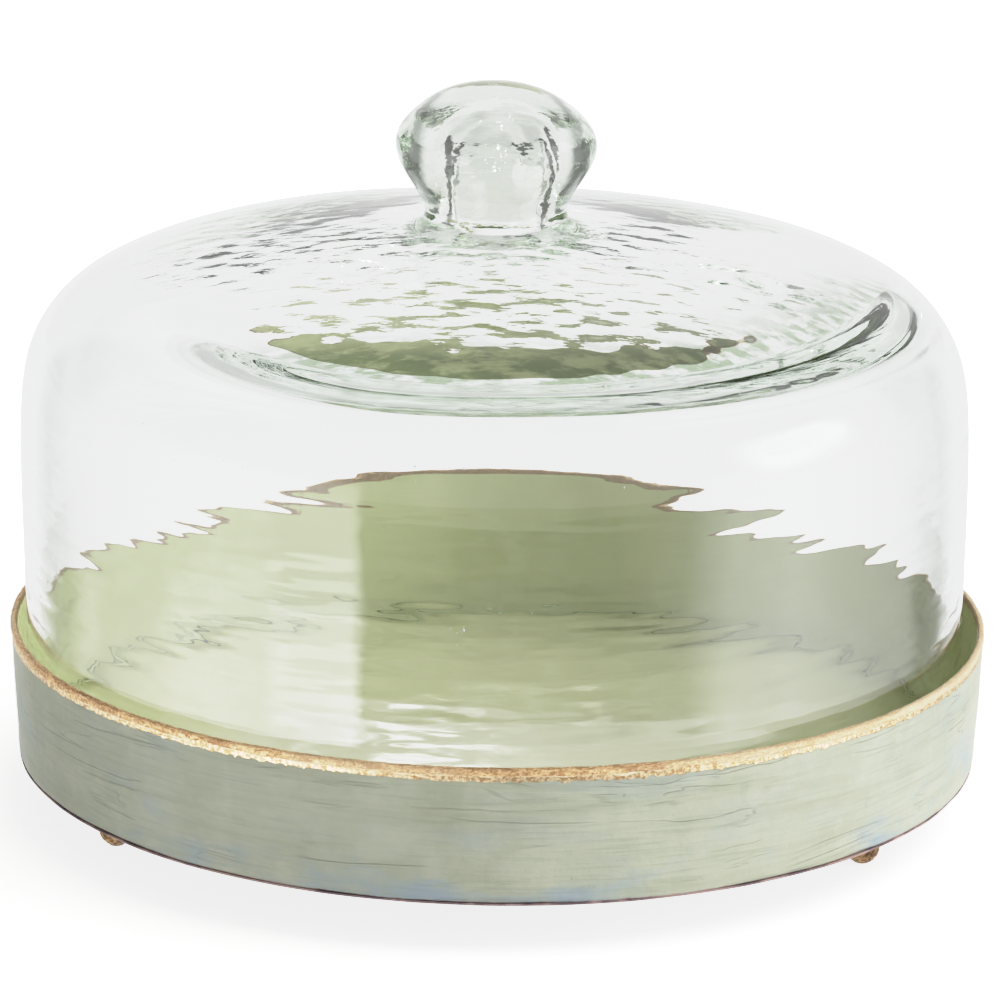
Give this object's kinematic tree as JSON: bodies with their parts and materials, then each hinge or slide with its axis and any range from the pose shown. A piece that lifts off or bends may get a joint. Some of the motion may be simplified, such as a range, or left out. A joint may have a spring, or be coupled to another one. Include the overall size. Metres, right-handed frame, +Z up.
{
  "type": "glass cloche",
  "caption": "Blown clear glass bell with a solid glass knob, standing in a shallow enamelled metal tray with a gilt rim on small ball feet.",
  "frame": {"origin": "on the bell's axis, in the plane the three feet stand on", "axes": "+Z up along the bell's axis; -Y is the front, midway between the two front feet; +X to the right seen from the front"},
  "size_m": [0.3002, 0.3002, 0.2222],
  "materials": {
    "enamel_inside": "glossy sage green enamel, slightly wavy",
    "enamel_outside": "matt grey-green enamel with fine brush marks and worn edges",
    "gilt_edge": "rough gold leaf, worn through to bronze",
    "aged_brass": "aged, rough",
    "clear_glass": "clear, rippled and seeded",
    "knob_glass": "clear, solid, lightly wavy"
  },
  "bodies": {
    "tray": {"tray_base": "enamel_inside", "tray_wall": "enamel_outside", "gilt_rim": "gilt_edge", "ball_foot_front_left": "aged_brass", "ball_foot_front_right": "aged_brass", "ball_foot_rear": "aged_brass"},
    "bell": {"glass_bell": "clear_glass", "glass_knob": "knob_glass"}
  },
  "joints": [
    {"name": "bell_lift", "type": "slide", "parent": "tray", "child": "bell", "axis": [0, 0, 1], "range_m": [0, 0.2]}
  ]
}
